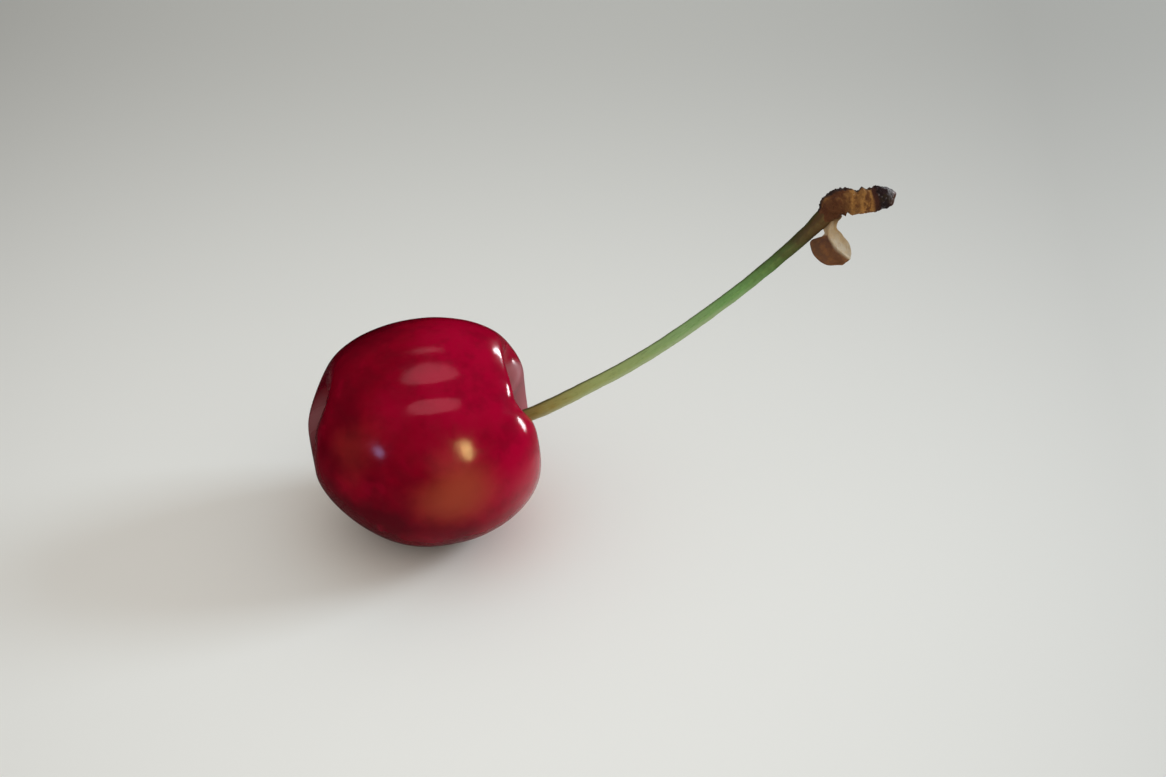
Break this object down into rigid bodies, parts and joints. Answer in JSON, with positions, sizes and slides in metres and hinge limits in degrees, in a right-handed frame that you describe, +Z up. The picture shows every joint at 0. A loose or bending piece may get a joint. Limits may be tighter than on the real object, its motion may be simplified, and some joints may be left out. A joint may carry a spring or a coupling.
{
  "type": "sweet cherry",
  "caption": "Ripe dark red cherry lying on its side, with its long green stem, the brown spur stub it broke off with, and one dried bract.",
  "frame": {"origin": "middle of the small flattened spot on the fruit's underside that it rests on", "axes": "+Z up, +X the level way the stem points from the fruit, +Y away from the side on which the suture shows"},
  "size_m": [0.0626, 0.0275, 0.033],
  "materials": {
    "skin": "glossy dark crimson cherry skin",
    "green_stalk": "fresh green stalk with a slight sheen",
    "bark": "rough dry orange-brown bark with a blackened end",
    "dry_scale": "matte papery dried leaf tissue, tan outside and brown inside"
  },
  "bodies": {
    "root": {"fruit": "skin", "stem": "green_stalk", "spur_stub": "bark", "dry_bract": "dry_scale"}
  },
  "joints": []
}
